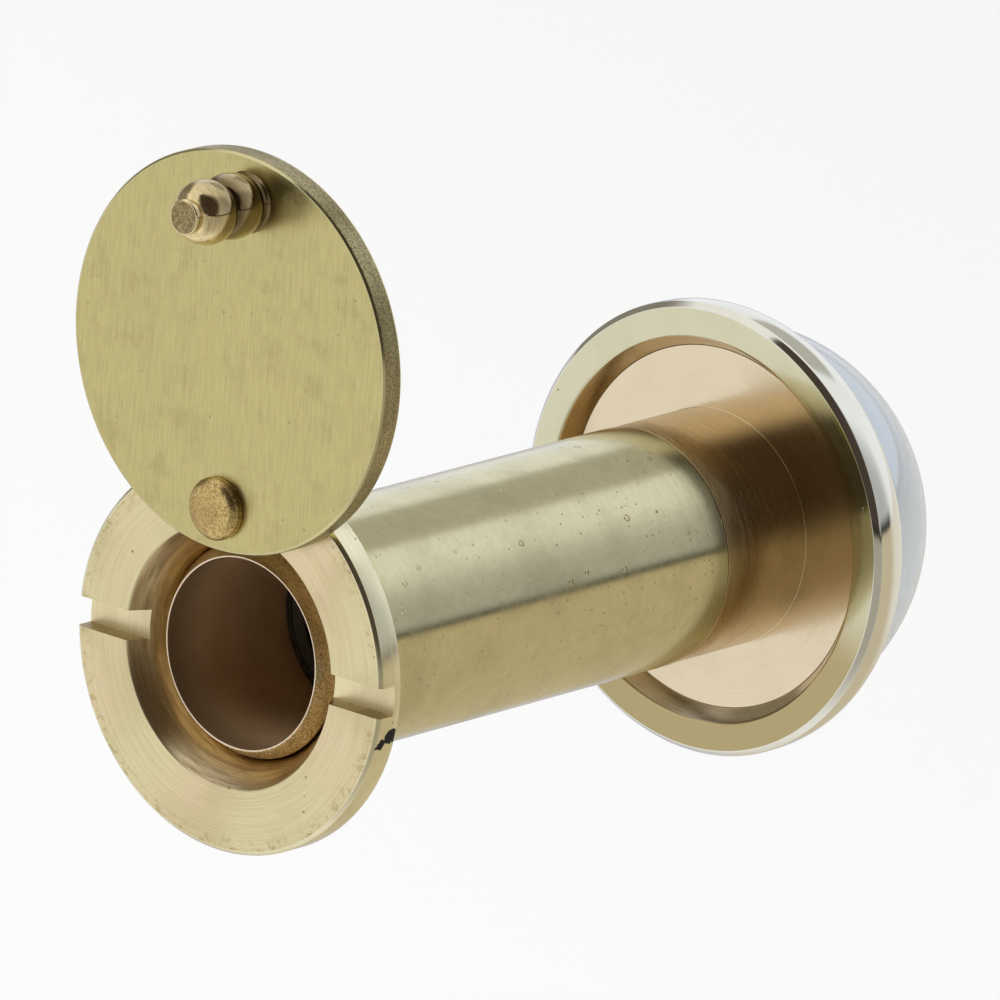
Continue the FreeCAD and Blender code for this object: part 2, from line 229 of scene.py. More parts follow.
def turned(name, outline, segments=192, centre=(0, 0), slots=None, ripple=None):
    """A lathe-turned closed mesh about an axis along Y through centre (x, z), all in mm.

    slots = (half width, floor station, [angles]) cuts straight radial slots down to the floor;
    ripple(radius, station, angle) moves a point's radius, as for a thread."""
    points, zones = outline
    half, floor, angles = slots or (0, 0, [])
    columns = columns_round(segments, angles)
    mesh = bpy.data.meshes.new(name)
    shape = bmesh.new()
    rings = []
    for r, y in points:
        if r < CLOSE:
            rings.append([shape.verts.new((centre[0] * MM, y * MM, centre[1] * MM))])
            continue
        ring = []
        wall = math.asin(min(half / r, 1)) if angles else 0
        for share, index, in_slot in columns:
            if not angles:
                angle = share * FULL_TURN
            elif in_slot:
                angle = angles[index] - wall + 2 * wall * share
            else:
                after = angles[(index + 1) % len(angles)] + (FULL_TURN if index == len(angles) - 1 else 0)
                gap = after - angles[index] - 2 * wall
                angle = angles[index] + wall + gap * share
            reach = ripple(r, y, angle) if ripple else r
            along = max(y, floor) if in_slot else y
            x = centre[0] + reach * math.cos(angle)
            z = centre[1] + reach * math.sin(angle)
            ring.append(shape.verts.new((x * MM, along * MM, z * MM)))
        rings.append(ring)
    across = len(columns)
    for i, ring in enumerate(rings):
        after = rings[(i + 1) % len(rings)]
        if len(ring) == 1 and len(after) == 1:
            continue
        for j in range(across):
            k = (j + 1) % across
            corners = [ring[j % len(ring)], ring[k % len(ring)], after[k % len(after)], after[j % len(after)]]
            face = shape.faces.new(list(dict.fromkeys(corners)))
            face.material_index = zones[i]
            face.smooth = True
    bmesh.ops.remove_doubles(shape, verts=shape.verts, dist=SAME_SPOT)
    bmesh.ops.dissolve_degenerate(shape, dist=SAME_SPOT, edges=shape.edges)
    bmesh.ops.recalc_face_normals(shape, faces=shape.faces)
    shape.to_mesh(mesh)
    shape.free()
    piece = bpy.data.objects.new(name, mesh)
    bpy.context.scene.collection.objects.link(piece)
    return piece


def cut(piece, *cutters):
    """Take each cutter's volume out of the piece, and forget the cutter."""
    for cutter in cutters:
        hole = piece.modifiers.new("cut", "BOOLEAN")
        hole.operation = "DIFFERENCE"
        hole.solver = "EXACT"
        hole.object = cutter
    bpy.context.view_layer.update()
    seen = piece.evaluated_get(bpy.context.evaluated_depsgraph_get())
    carved = bpy.data.meshes.new_from_object(seen)
    piece.modifiers.clear()
    piece.data = carved
    for cutter in cutters:
        bpy.data.objects.remove(cutter)


def finish_piece(piece, body, nodes, materials, bevel=0.0):
    """Give a piece its materials, soft edges and body, and hide the CAD nodes it stands for."""
    mesh = piece.data
    zones = [polygon.material_index for polygon in mesh.polygons]
    mesh.materials.clear()
    for material in materials:
        mesh.materials.append(material)
    mesh.polygons.foreach_set("material_index", zones)
    shape = bmesh.new()
    shape.from_mesh(mesh)
    for edge in shape.edges:
        edge.smooth = edge.calc_face_angle(0.0) < SHARP
    shape.to_mesh(mesh)
    shape.free()
    if bevel:
        soft = piece.modifiers.new("soft_edges", "BEVEL")
        soft.width = bevel * MM
        soft.segments = 2
        soft.limit_method = "ANGLE"
        soft.angle_limit = SHARP
        soft.harden_normals = False
    normals = piece.modifiers.new("even_shading", "WEIGHTED_NORMAL")
    normals.keep_sharp = True
    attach(piece, body)
    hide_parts(*nodes)
    return piece


# ---------------------------------------------------------------- material building blocks

class Nodes:
    """Short ways to add nodes to a tree."""

    def __init__(self, tree):
        self.tree = tree

    def add(self, kind, settings=None, inputs=None):
        """A new node with its settings and its inputs, by name."""
        node = self.tree.nodes.new("ShaderNode" + kind)
        for key, value in (settings or {}).items():
            setattr(node, key, value)
        for key, value in (inputs or {}).items():
            self.feed(node.inputs[key], value)
        return node

    def feed(self, socket, value):
        """Link a socket to another one, or give it a plain value."""
        if isinstance(value, bpy.types.NodeSocket):
            self.tree.links.new(value, socket)
        else:
            socket.default_value = value

    def sum(self, operation, first, second):
        """A sum of numbers: ADD, SUBTRACT, MULTIPLY or MAXIMUM."""
        node = self.add("Math", {"operation": operation})
        for socket, value in zip(node.inputs, (first, second)):
            self.feed(socket, value)
        return node.outputs[0]

    def vector(self, operation, first, second=(0, 0, 0), scale=None):
        """A vector sum; it gives a number for LENGTH and DOT_PRODUCT, and a vector otherwise."""
        node = self.add("VectorMath", {"operation": operation})
        self.feed(node.inputs[0], first)
        if operation == "SCALE":
            self.feed(node.inputs["Scale"], scale)
            return node.outputs[0]
        if operation not in ("LENGTH", "NORMALIZE"):
            self.feed(node.inputs[1], second)
        return node.outputs["Value" if operation in ("LENGTH", "DOT_PRODUCT") else "Vector"]

    def axis(self, vector, name):
        """One coordinate of a vector: X, Y or Z."""
        return self.add("SeparateXYZ", inputs={"Vector": vector}).outputs[name]

    def mix(self, share, first, second):
        """Blend two colours; a colour is a socket or three numbers."""
        node = self.add("Mix", {"data_type": "RGBA"})
        self.feed(node.inputs["Factor"], share)
        for key, colour in (("A", first), ("B", second)):
            self.feed(node.inputs[key], (*colour, 1) if isinstance(colour, tuple) else colour)
        return node.outputs["Result"]

    def ramp(self, value, low, high, out_low=0.0, out_high=1.0):
        """Map a value range smoothly onto another."""
        node = self.add("MapRange", {"interpolation_type": "SMOOTHSTEP"})
        for socket, number in zip(node.inputs, (value, low, high, out_low, out_high)):
            self.feed(socket, number)
        return node.outputs["Result"]


class Finish(Nodes):
    """A node material around one Principled shader."""

    def __init__(self, name, **constants):
        self.material = bpy.data.materials.new(name)
        self.material.use_nodes = True
        super().__init__(self.material.node_tree)
        self.shader = self.tree.nodes["Principled BSDF"]
        for socket, value in constants.items():
            self.shader.inputs[socket.replace("_", " ")].default_value = value
        self.place = self.add("TexCoord").outputs["Object"]

    def cloud(self, scale, detail=3.0, vector=None, roughness=0.5):
        """Soft noise; scale is in blotches per metre of the coordinates."""
        node = self.add("TexNoise", {"noise_dimensions": "3D"})
        self.feed(node.inputs["Vector"], vector or self.place)
        self.feed(node.inputs["Scale"], scale)
        self.feed(node.inputs["Detail"], detail)
        self.feed(node.inputs["Roughness"], roughness)
        return node.outputs["Fac"]

    def around(self, centre):
        """(unit vector away from the turning axis, distance from it, station along it)."""
        flat = self.vector("SUBTRACT", self.place, (centre[0] * MM, 0, centre[1] * MM))
        flat = self.vector("MULTIPLY", flat, (1, 0, 1))
        return self.vector("NORMALIZE", flat), self.vector("LENGTH", flat), self.axis(self.place, "Y")

    def tool_lines(self, per_mm, centre=(0, 0), across="radius"):
        """Fine lines that a lathe tool leaves: rings on a face, or turns along a shaft."""
        outward, distance, station = self.around(centre)
        travel = distance if across == "radius" else station
        steps = self.sum("MULTIPLY", travel, per_mm / MM)
        shift = self.add("CombineXYZ", inputs={"Y": steps}).outputs[0]
        spread = self.vector("SCALE", outward, scale=2.0)
        return self.cloud(1.0, detail=4.0, vector=self.vector("ADD", spread, shift), roughness=0.65)

    def pits(self, per_mm, share):
        """Small round spots scattered one to a cell in a share of the cells: 1 inside, 0 elsewhere."""
        cells = self.add("TexVoronoi", inputs={"Vector": self.place, "Scale": per_mm / MM})
        chosen = self.add("SeparateColor", inputs={"Color": cells.outputs["Color"]}).outputs[0]
        largest, blur = 0.17, 0.05
        size = self.ramp(chosen, 1 - share, 1.0, 0.0, largest)
        return self.ramp(self.sum("SUBTRACT", size, cells.outputs["Distance"]), 0.0, blur)

    def relief(self, height, depth_mm, after=None):
        """Bump of a given depth; returns the normal."""
        node = self.add("Bump", inputs={"Strength": 1.0, "Distance": depth_mm * MM, "Height": height})
        if after:
            self.feed(node.inputs["Normal"], after)
        return node.outputs["Normal"]

    def finish(self, colour, roughness, normal=None):
        """Connect the shader and return the material."""
        self.feed(self.shader.inputs["Base Color"], colour)
        self.feed(self.shader.inputs["Roughness"], roughness)
        if normal:
            self.feed(self.shader.inputs["Normal"], normal)
        return self.material


# noise scales of the brass, in blotches per metre
TARNISH_SCALE = 260
BLUSH_SCALE = 95
PAINTED_LOW_LIGHT_SCALE = 130
BLOT_SCALE = 2200
CHIP_SCALE = 2600
BLISTER_SCALE = 150
MOTTLE_SCALE = 1500
GRAIN_SCALE = 8000

# depths and widths of its marks, in mm
PAINTED_LOW_LIGHT_WAVE = 9
BLOT_RAG = 0.9
CHIP_BAND = 1.4
PIT_DEPTH = 0.012
BLISTER_DEPTH = 0.07

PIT_BROWN = (0.12, 0.09, 0.05)
BLOT_BLACK = (0.012, 0.012, 0.016)


def brass(name, light, dark, rough, lines, centre=(0, 0), across="radius", line_depth=0.004,
          shade=0.15, stain=0.25, spots=0.15, spot_scale=1.6, grain=0.0, blush=None,
          blots=(), worn_edge=0, bumps=0, groove=None, painted_low_light=None):
    """Turned brass: tool lines, tarnish clouds and a few dark specks.

    rough = (smoothest, roughest); lines = tool lines per mm; shade = how much the lines darken it;
    grain = depth in mm of a granular skin; blush = a second colour that drifts in;
    blots = (x, y, z, radius) of small black tarnish blots, in mm; worn_edge = radius of an edge with
    small chips; bumps = share of cells that hold a raised blister; groove = (radius, radius, station,
    station) between which painted shade darkens a turned hollow; painted_low_light = (height, height,
    colour) of painted light over the lower part: a painted reflection where lighter, painted shade where
    darker."""
    look = Finish(name, Metallic=1.0)
    marks = look.tool_lines(lines, centre, across)
    tarnish = look.ramp(look.cloud(TARNISH_SCALE, 5.0), 0.42, 0.72)
    colour = light
    if blush:
        colour = look.mix(look.ramp(look.cloud(BLUSH_SCALE), 0.46, 0.66, 0.0, 0.6), colour, blush)
    colour = look.mix(look.sum("MULTIPLY", tarnish, stain), colour, dark)
    # Painted light over the lower part: its colour paints a reflection where lighter and shade where darker.
    if painted_low_light:
        wave = look.sum("MULTIPLY", look.cloud(PAINTED_LOW_LIGHT_SCALE), PAINTED_LOW_LIGHT_WAVE * MM)
        height = look.sum("ADD", look.axis(look.place, "Z"), wave)
        low = look.ramp(height, painted_low_light[0] * MM, painted_low_light[1] * MM, 0.8, 0.0)
        colour = look.mix(low, colour, painted_low_light[2])
    colour = look.mix(look.ramp(marks, 0.35, 0.75, 0.0, shade), colour, dark)
    pits = look.pits(spot_scale, spots)
    colour = look.mix(look.sum("MULTIPLY", pits, 0.6), colour, PIT_BROWN)
    for *spot, reach in blots:
        away = look.vector("LENGTH", look.vector("SUBTRACT", look.place, tuple(v * MM for v in spot)))
        ragged = look.sum("ADD", away, look.sum("MULTIPLY", look.cloud(BLOT_SCALE), BLOT_RAG * MM))
        inked = look.ramp(ragged, (reach + 0.4) * MM, (reach + 0.5) * MM, 1.0, 0.0)
        colour = look.mix(inked, colour, BLOT_BLACK)
    if worn_edge:
        near = look.ramp(look.around(centre)[1], (worn_edge - CHIP_BAND) * MM, worn_edge * MM)
        chips = look.ramp(look.cloud(CHIP_SCALE, 5.0, roughness=0.7), 0.53, 0.6)
        colour = look.mix(look.sum("MULTIPLY", near, chips), colour, dark)
    normal = look.relief(pits, -PIT_DEPTH, after=look.relief(marks, line_depth))
    # Painted shade: darkens the turned hollow between two radii and two stations.
    if groove:
        distance, station = look.around(centre)[1:]
        waist_shade = look.sum("MULTIPLY", look.ramp(distance, groove[0] * MM, groove[1] * MM, 0.85, 0.0),
                         look.ramp(station, groove[2] * MM, groove[3] * MM))
        colour = look.mix(waist_shade, colour, tuple(c * 0.5 for c in dark))
    if bumps:
        gathered = look.ramp(look.cloud(BLISTER_SCALE, 2.0), 0.42, 0.58)
        blisters = look.sum("MAXIMUM", look.pits(0.72, bumps), look.pits(1.4, bumps))
        blisters = look.sum("MULTIPLY", blisters, gathered)
        mottle = look.ramp(look.cloud(MOTTLE_SCALE, 5.0, roughness=0.7), 0.35, 0.7)
        colour = look.mix(look.sum("MULTIPLY", mottle, 0.22), colour, dark)
        colour = look.mix(look.sum("MULTIPLY", blisters, 0.2), colour, dark)
        normal = look.relief(blisters, BLISTER_DEPTH, after=normal)
    if grain:
        skin = look.cloud(GRAIN_SCALE)
        colour = look.mix(look.ramp(skin, 0.42, 0.62, 0.0, 0.75), colour, dark)
        normal = look.relief(skin, grain, after=normal)
    soft = look.ramp(look.sum("ADD", marks, look.sum("MULTIPLY", tarnish, 0.3)), 0.3, 0.95, *rough)
    return look.finish(colour, soft, normal)


# ---------------------------------------------------------------- materials

PALE = (0.74, 0.66, 0.39)
PALE_DARK = (0.50, 0.40, 0.20)
PEACH = (0.78, 0.62, 0.40)
SATIN = (0.67, 0.61, 0.375)
SATIN_DARK = (0.44, 0.39, 0.23)
OLIVE = (0.575, 0.51, 0.235)
OLIVE_PALE = (0.64, 0.56, 0.26)
OLIVE_DARK = (0.38, 0.32, 0.13)
COPPERY = (0.58, 0.435, 0.225)
COPPERY_DARK = (0.28, 0.19, 0.085)
TAN = (0.62, 0.49, 0.27)
TAN_DARK = (0.24, 0.15, 0.06)

flange_face = brass("flange_face", PALE, PALE_DARK, (0.24, 0.42), 9, line_depth=0.008, shade=0.3, stain=0.2,
                    blush=PEACH, worn_edge=flange_radius)
rim_side = brass("rim_side", (0.84, 0.78, 0.54), PALE_DARK, (0.18, 0.34), 8, across="station",
                 line_depth=0.003, blots=((11.08, -39.62, -2.08, 0.52), (11.04, -40.35, -2.5, 0.36)))
tube_side = brass("tube_side", SATIN, SATIN_DARK, (0.14, 0.22), 6, across="station", line_depth=0.0005,
                  shade=0.08, stain=0.35, spots=0.35, spot_scale=2.6, bumps=0.8)
# eye_cone: the cream tone on its lower part is a painted reflection.
eye_cone = brass("eye_cone", (0.74, 0.56, 0.31), (0.30, 0.19, 0.08), (0.28, 0.44), 6,
                 line_depth=0.02, shade=0.75, stain=0.4, painted_low_light=(-2.2, -0.8, (1.0, 0.84, 0.54)))
slot_floor = brass("slot_floor", (0.84, 0.74, 0.46), PALE_DARK, (0.3, 0.46), 5, line_depth=0.006, stain=0.15)
slot_wall = brass("slot_wall", (0.52, 0.42, 0.22), (0.26, 0.18, 0.08), (0.34, 0.5), 5, grain=0.01)
cut_thread = brass("cut_thread", TAN, TAN_DARK, (0.28, 0.45), 6, line_depth=0.004)
shoulder_side = brass("shoulder_side", COPPERY, COPPERY_DARK, (0.2, 0.34), 6, across="station",
                      line_depth=0.0005, shade=0.08, spots=0.08)
disc_face = brass("disc_face", (0.79, 0.67, 0.48), (0.55, 0.42, 0.26), (0.13, 0.24), 8, line_depth=0.002,
                  shade=0.08, stain=0.15, spots=0.06)
# recess_wall: the pale tone on its lower part is a painted reflection.
recess_wall = brass("recess_wall", (0.46, 0.33, 0.16), (0.26, 0.16, 0.07), (0.14, 0.3), 8, line_depth=0.003,
                    painted_low_light=(-5.0, -2.5, (0.92, 0.88, 0.74)))
# joint bevel: its near-black colour is painted shade where the sleeve end meets the shoulder.
joint_shade_line = brass("joint_shade_line", (0.16, 0.11, 0.05), (0.06, 0.04, 0.02), (0.3, 0.5), 6)
# sawn_end: the lighter tone towards its bottom is a painted reflection.
sawn_end = brass("sawn_end", (0.57, 0.45, 0.25), (0.34, 0.24, 0.11), (0.34, 0.55), 4, grain=0.03, stain=0.4,
                 painted_low_light=(-2.0, 7.5, (0.98, 0.82, 0.54)))
inner_rim = brass("inner_rim", (0.88, 0.72, 0.56), TAN, (0.2, 0.36), 5, line_depth=0.003, shade=0.1)
polished = brass("polished", (0.78, 0.76, 0.67), (0.56, 0.52, 0.38), (0.05, 0.12), 7, across="station",
                 line_depth=0.0006, shade=0.05, stain=0.12, spots=0.03)
# seat_face: the brown tone on its lower part is a painted dark reflection.
seat_face = brass("seat_face", (0.69, 0.66, 0.47), (0.52, 0.46, 0.28), (0.1, 0.2), 9, line_depth=0.0015,
                  shade=0.06, stain=0.2, spots=0.03, painted_low_light=(-1.5, 4.5, (0.40, 0.30, 0.12)))
# knob_skin: the darkened hollow between bulb and ring is painted shade.
knob_skin = brass("knob_skin", (0.86, 0.71, 0.40), (0.20, 0.13, 0.05), (0.05, 0.13), 9,
                  (knob_side, knob_height), "station", 0.006, shade=0.45, stain=0.5,
                  groove=(1.6, 2.0, cover_front - 4.2, cover_front - 3.2))
knob_end = brass("knob_end", (0.44, 0.35, 0.18), (0.20, 0.14, 0.06), (0.35, 0.55), 4,
                 (knob_side, knob_height), shade=0.8, grain=0.04, stain=0.5)
rivet_skin = brass("rivet_skin", (0.72, 0.54, 0.23), (0.32, 0.20, 0.07), (0.18, 0.36), 5,
                   (0, pivot_height), grain=0.03, stain=0.6)
cover_rim = brass("cover_rim", (0.66, 0.60, 0.34), OLIVE, (0.14, 0.3), 5, (0, cover_height), shade=0.3)
cover_edge = brass("cover_edge", (0.50, 0.43, 0.23), (0.20, 0.16, 0.075), (0.36, 0.58), 3,
                   (0, cover_height), "station", grain=0.05, stain=0.5)
bronze = brass("bronze", (0.50, 0.36, 0.20), (0.28, 0.18, 0.09), (0.3, 0.45), 6, (0, pivot_height))


def brushed_cover():
    """Satin olive face: fine upright brushing, cloudy stains and a few specks."""
    look = Finish("cover_face", Metallic=1.0)
    upright = look.vector("MULTIPLY", look.place, (8000, 8000, 420))
    brushing = look.cloud(1.0, 4.0, upright, 0.6)
    stains = look.ramp(look.cloud(560, 8.0, roughness=0.62), 0.46, 0.74)
    colour = look.mix(look.sum("MULTIPLY", stains, 0.2), OLIVE, OLIVE_DARK)
    colour = look.mix(look.ramp(look.cloud(110, 3.0), 0.44, 0.72, 0.0, 0.3), colour, OLIVE_PALE)
    mottle = look.ramp(look.cloud(1900, 4.0, roughness=0.7), 0.45, 0.7, 0.0, 0.5)
    colour = look.mix(mottle, colour, OLIVE_PALE)
    colour = look.mix(look.ramp(brushing, 0.35, 0.75, 0.0, 0.4), colour, OLIVE_DARK)
    colour = look.mix(look.sum("MULTIPLY", look.pits(1.9, 0.2), 0.45), colour, (0.10, 0.08, 0.04))
    soft = look.ramp(look.sum("ADD", brushing, stains), 0.3, 1.4, 0.28, 0.42)
    return look.finish(colour, soft, look.relief(brushing, 0.0018))


def dark_bore():
    """Tarnished brown inside of the eyepiece tube, with painted shade darkening it near its open end."""
    look = Finish("dark_bore", Metallic=0.7)
    marks = look.tool_lines(5, across="station")
    colour = look.mix(look.cloud(400, 4.0), (0.72, 0.49, 0.26), (0.92, 0.68, 0.40))
    station = look.around((0, 0))[2]
    # Painted shade: darker towards the open end of the tube.
    mouth_shade = look.ramp(station, tube_end * MM, (tube_end + 3.5) * MM, 0.75, 0.0)
    colour = look.mix(mouth_shade, colour, (0.22, 0.14, 0.07))
    return look.finish(colour, look.ramp(marks, 0.3, 0.7, 0.4, 0.55), look.relief(marks, 0.008))


def black_lacquer():
    """Matt black paint with a fine uneven skin."""
    look = Finish("black_lacquer", Metallic=0.0)
    skin = look.cloud(6000, 3.0)
    colour = look.mix(look.cloud(700, 4.0), (0.012, 0.011, 0.010), (0.035, 0.030, 0.026))
    return look.finish(colour, look.ramp(skin, 0.3, 0.7, 0.35, 0.6), look.relief(skin, 0.01))


def black_rubber():
    """Matt rubber with a dusty skin."""
    look = Finish("black_rubber", Metallic=0.0)
    skin = look.cloud(5000, 3.0)
    colour = look.mix(skin, (0.015, 0.015, 0.015), (0.04, 0.04, 0.04))
    return look.finish(colour, look.ramp(skin, 0.3, 0.7, 0.6, 0.8), look.relief(skin, 0.01))


def glass(name, tint, wiped, haze):
    """Polished glass; haze = its least roughness, wiped = how much wipe marks add to it."""
    look = Finish(name, Transmission_Weight=1.0, IOR=1.52, Metallic=0.0)
    wipes = look.ramp(look.cloud(350, 4.0), 0.45, 0.8, haze, haze + wiped)
    colour = look.mix(wipes, tint, tuple(c * 0.97 for c in tint))
    return look.finish(colour, wipes)


cover_face = brushed_cover()
bore_skin = dark_bore()
lacquer = black_lacquer()
rubber = black_rubber()
dome_glass = glass("dome_glass", (0.51, 0.545, 0.56), 0.03, 0.05)
lens_glass = glass("lens_glass", (0.93, 0.96, 0.95), 0.02, 0.0)


# ---------------------------------------------------------------- interior pieces

def thread_ripple(surface, depth):
    """Radius of a helical V thread of the given depth, cut into surface, faded at both ends."""
    def ripple(radius, station, angle):
        if abs(radius - surface) > CLOSE or not THREAD_LAST <= station <= THREAD_FIRST:
            return radius
        turn = (station / THREAD_PITCH - angle / FULL_TURN) % 1
        valley = max(0.0, 1 - abs(turn - 0.5) / THREAD_VALLEY)
        fade = min(1.0, (THREAD_FIRST - station) / THREAD_FADE, (station - THREAD_LAST) / THREAD_FADE)
        return radius + depth * valley * fade
    return ripple


def thread_stations(samples):
    """Stations along the thread, that many to a turn."""
    count = round((THREAD_FIRST - THREAD_LAST) / THREAD_PITCH * samples)
    return [THREAD_LAST + (THREAD_FIRST - THREAD_LAST) * i / count for i in range(count + 1)]


def make_sleeve():
    """Female-threaded sleeve: flange face, slots, eye cone, rim and tube."""
    face, rim, side, cone, floor, wall, inside = range(7)
    cone_at_slot = EYE_RADIUS - (EYE_RADIUS - SLEEVE_BORE) * SLOT_DEPTH / EYE_DEPTH
    outline = rounded([
        (EYE_RADIUS, flange_front, face, 0.10),
        (flange_radius - EDGE_BREAK, flange_front, rim, 0.05),
        (flange_radius, flange_front + EDGE_BREAK, rim, 0.05),
        (flange_radius, flange_back, face, 0.08),
        (SLEEVE_RADIUS, flange_back, side, 0.06),
        (SLEEVE_RADIUS, sleeve_end, side, 0.04),
        (SLEEVE_BORE + THREAD_DEPTH, sleeve_end, inside, 0.05),
        (SLEEVE_BORE, sleeve_end - THREAD_DEPTH, inside, 0.0),
        *[(SLEEVE_BORE, station, inside, 0) for station in reversed(thread_stations(samples=8))],
        (SLEEVE_BORE, flange_front + EYE_DEPTH, cone, 0.05),
        (cone_at_slot, flange_front + SLOT_DEPTH, cone, 0),
    ])
    slots = (SLOT_HALF, flange_front + SLOT_DEPTH, [0, math.pi])
    sleeve = turned("sleeve_and_flange", outline, segments=192, slots=slots,
                    ripple=thread_ripple(SLEEVE_BORE, THREAD_DEPTH))
    slot_top, slot_bottom = flange_front * MM, (flange_front + SLOT_DEPTH) * MM
    slot_reach = SLOT_HALF * 1.001 * MM
    level, upright = 0.9, 0.7
    for polygon in sleeve.data.polygons:
        _, y, z = polygon.center
        if abs(z) > slot_reach or y > slot_bottom + CLOSE or y < slot_top + CLOSE:
            continue
        if abs(polygon.normal.y) > level and y > slot_bottom - CLOSE:
            polygon.material_index = floor
        elif abs(polygon.normal.z) > upright:
            polygon.material_index = wall
    hole = turned("hole", rounded([
        (0, flange_front - CUT_PAST, face, 0),
        (SHANK_RADIUS, flange_front - CUT_PAST, face, 0),
        (SHANK_RADIUS, flange_back - TAIL_DEPTH, face, 0),
        (TAIL_RADIUS, flange_back, face, 0),
        (TAIL_RADIUS, flange_back + TAIL_PAST, face, 0),
        (0, flange_back + TAIL_PAST, face, 0),
    ]), segments=48, centre=(0, pivot_height))
    cut(sleeve, hole)
    finish_piece(sleeve, "interior_unit", ["interior_sleeve"],
                 [flange_face, rim_side, tube_side, eye_cone, slot_floor, slot_wall, cut_thread], bevel=0.04)


def make_washer():
    """Thin bronze washer between flange and cover."""
    outline = rounded([
        (PIVOT_HOLE, washer_top, 0, 0.03),
        (washer_radius, washer_top, 0, 0.03),
        (washer_radius, washer_base, 0, 0.03),
        (PIVOT_HOLE, washer_base, 0, 0.03),
    ])
    washer = turned("friction_washer", outline, segments=64, centre=(0, pivot_height))
    finish_piece(washer, "interior_unit", ["cover_washer"], [bronze])


def make_rivet():
    """Hammered rivet: low dome, a small flash round its edge, tail upset in the flange."""
    under = cover_front - RIVET_GAP
    peak, edge = (0, rivet_top), (rivet_radius, under - RIVET_FLASH)
    shoulder = (RIVET_FLAT, rivet_top + RIVET_CROWN)
    top_arc, edge_arc = 9.0, 0.62
    dent_scale, dent_depth = 2.3, 0.02
    outline = rounded([
        (*peak, 0, 0),
        *bow(peak, shoulder, top_arc, True, 0, 6),
        (*shoulder, 0, 0),
        *bow(shoulder, edge, edge_arc, True, 0, 6),
        (*edge, 0, 0),
        (rivet_radius, under, 0, 0.04),
        (SHANK_RADIUS, under, 0, 0),
        (SHANK_RADIUS, flange_back - TAIL_DEPTH, 0, 0),
        (TAIL_RADIUS - 0.02, flange_back, 0, 0.05),
        (0, flange_back, 0, 0),
    ])

    def hammered(radius, station, angle):
        spot = Vector((radius * math.cos(angle), station, radius * math.sin(angle)))
        dents = noise.fractal(spot * dent_scale, 1.0, 2.0, 3)
        return radius * (1 - dent_depth * max(0.0, dents)) if station < under - 0.1 else radius

    rivet = turned("hammered_rivet", outline, segments=96, centre=(0, pivot_height), ripple=hammered)
    finish_piece(rivet, "interior_unit", ["cover_rivet"], [rivet_skin])


def make_cover():
    """Brushed disc with a sheared edge and holes for its rivet and knob."""
    face, rim, edge = range(3)
    outline = rounded([
        (0, cover_front, face, 0),
        (cover_radius - COVER_BORDER, cover_front, face, 0),
        (cover_radius - COVER_EDGE, cover_front, rim, 0.03),
        (cover_radius, cover_front + COVER_EDGE, edge, 0.03),
        (cover_radius, cover_back, face, 0.12),
        (cover_radius - COVER_BORDER, cover_back, face, 0),
        (0, cover_back, face, 0),
    ], 4)
    cover = turned("swing_cover", outline, segments=224, centre=(0, cover_height))
    holes = []
    for radius, x, z in ((PIVOT_HOLE, 0, pivot_height), (STEM_RADIUS, knob_side, knob_height)):
        holes.append(turned("hole", rounded([
            (0, cover_front - CUT_PAST, edge, 0),
            (radius, cover_front - CUT_PAST, edge, 0),
            (radius, cover_back + CUT_PAST, edge, 0),
            (0, cover_back + CUT_PAST, edge, 0),
        ]), segments=64, centre=(x, z)))
    cut(cover, *holes)
    finish_piece(cover, "cover", ["cover_disc"], [cover_face, cover_rim, cover_edge])


def make_knob():
    """Turned pull knob: foot, ring, bulb, neck groove and a parted-off tip."""
    skin, end = range(2)
    base = cover_front
    bulb_top, bulb_foot = (1.25, base - 4.7), (1.6, base - 2.56)
    ring_top, ring_foot = (1.6, base - 2.44), (1.6, base - 0.35)
    bulb_arc, ring_arc = 1.65, 2.08
    outline = rounded([
        (0, knob_tip + 0.02, end, 0),
        (0.30, knob_tip + 0.05, end, 0.05),
        (0.62, knob_tip, end, 0.08),
        (KNOB_TIP, knob_tip, skin, 0.10),
        (KNOB_TIP, base - 4.88, skin, 0.04),
        (KNOB_NECK, base - 4.80, skin, 0.04),
        (*bulb_top, skin, 0),
        *bow(bulb_top, bulb_foot, bulb_arc, True, skin, 16),
        (*bulb_foot, skin, 0),
        (KNOB_GROOVE, base - 2.5, skin, 0.03),
        (*ring_top, skin, 0),
        *bow(ring_top, ring_foot, ring_arc, True, skin, 16),
        (*ring_foot, skin, 0),
        (1.66, base - 0.2, skin, 0.05),
        (KNOB_FOOT, base, skin, 0.05),
        (STEM_RADIUS - FIT, base, skin, 0),
        (STEM_RADIUS - FIT, cover_back, skin, 0.05),
        (0, cover_back, skin, 0),
    ])
    knob = turned("pull_knob", outline, segments=96, centre=(knob_side, knob_height))
    finish_piece(knob, "cover", ["cover_knob"], [knob_skin, knob_end])


# ---------------------------------------------------------------- exterior pieces

